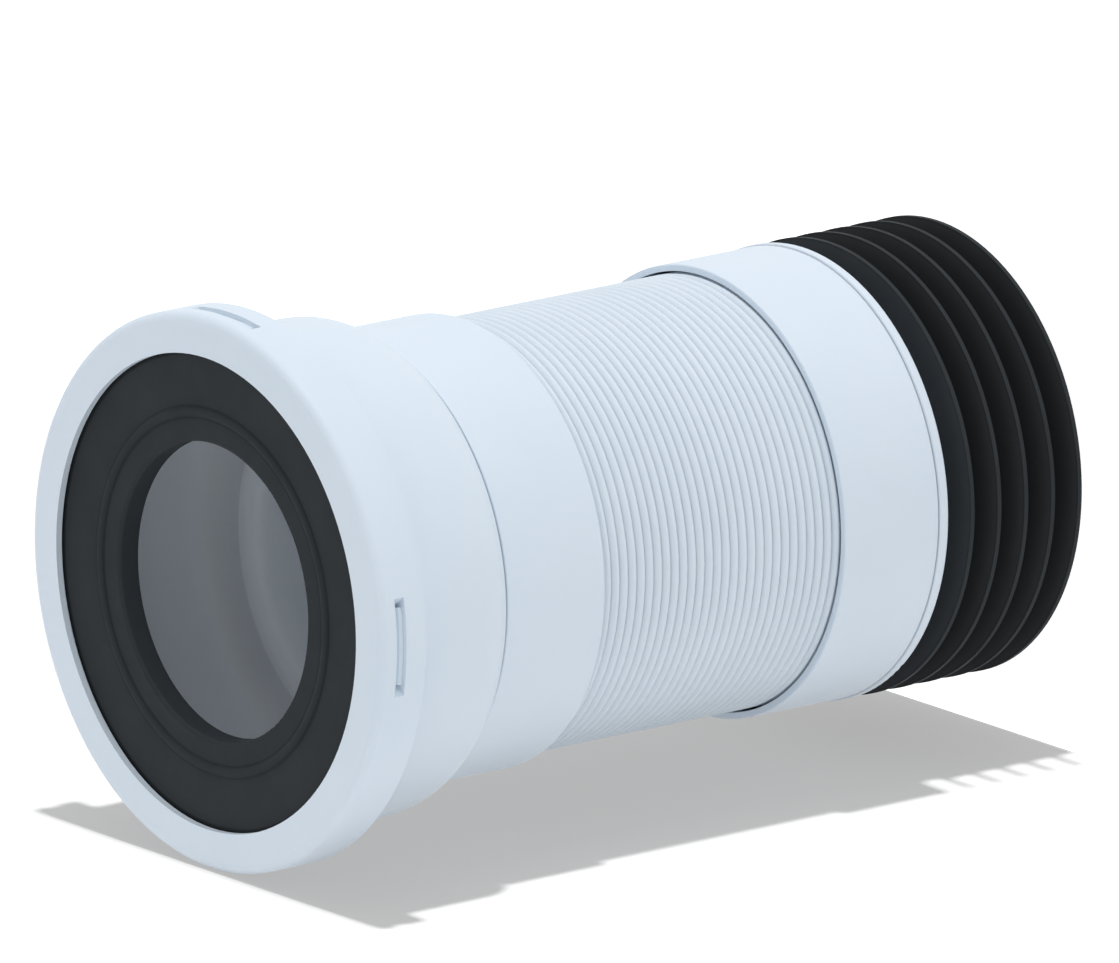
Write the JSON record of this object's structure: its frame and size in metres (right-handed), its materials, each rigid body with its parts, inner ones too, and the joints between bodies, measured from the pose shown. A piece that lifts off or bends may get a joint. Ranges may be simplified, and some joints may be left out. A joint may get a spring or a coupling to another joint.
{
  "type": "toilet pan connector",
  "caption": "Flexible connector from a toilet pan to a soil pipe: snap-capped inlet socket with rubber cuff, extending corrugated tube and finned rubber outlet seal.",
  "frame": {"origin": "centre of the outlet end, which is the bottom of the bounding box", "axes": "+Z along the axis from the outlet to the inlet; +X through the middle of one snap window"},
  "size_m": [0.14, 0.14, 0.2357],
  "materials": {
    "white_plastic": "smooth moulded",
    "white_flexible": "smooth moulded",
    "black_rubber": "satin moulded"
  },
  "bodies": {
    "outlet": {"finned_seal": "black_rubber", "outlet_spigot": "white_plastic", "rear_collar": "white_plastic", "corrugated_tube": "white_flexible"},
    "mouth": {"front_collar": "white_plastic", "inlet_socket": "white_plastic", "inlet_cuff": "black_rubber", "retaining_cap": "white_plastic"}
  },
  "joints": [
    {"name": "tube_stretch", "type": "slide", "parent": "outlet", "child": "mouth", "axis": [0, 0, 1], "range_m": [0, 0.25], "deforming": ["corrugated_tube"]}
  ]
}
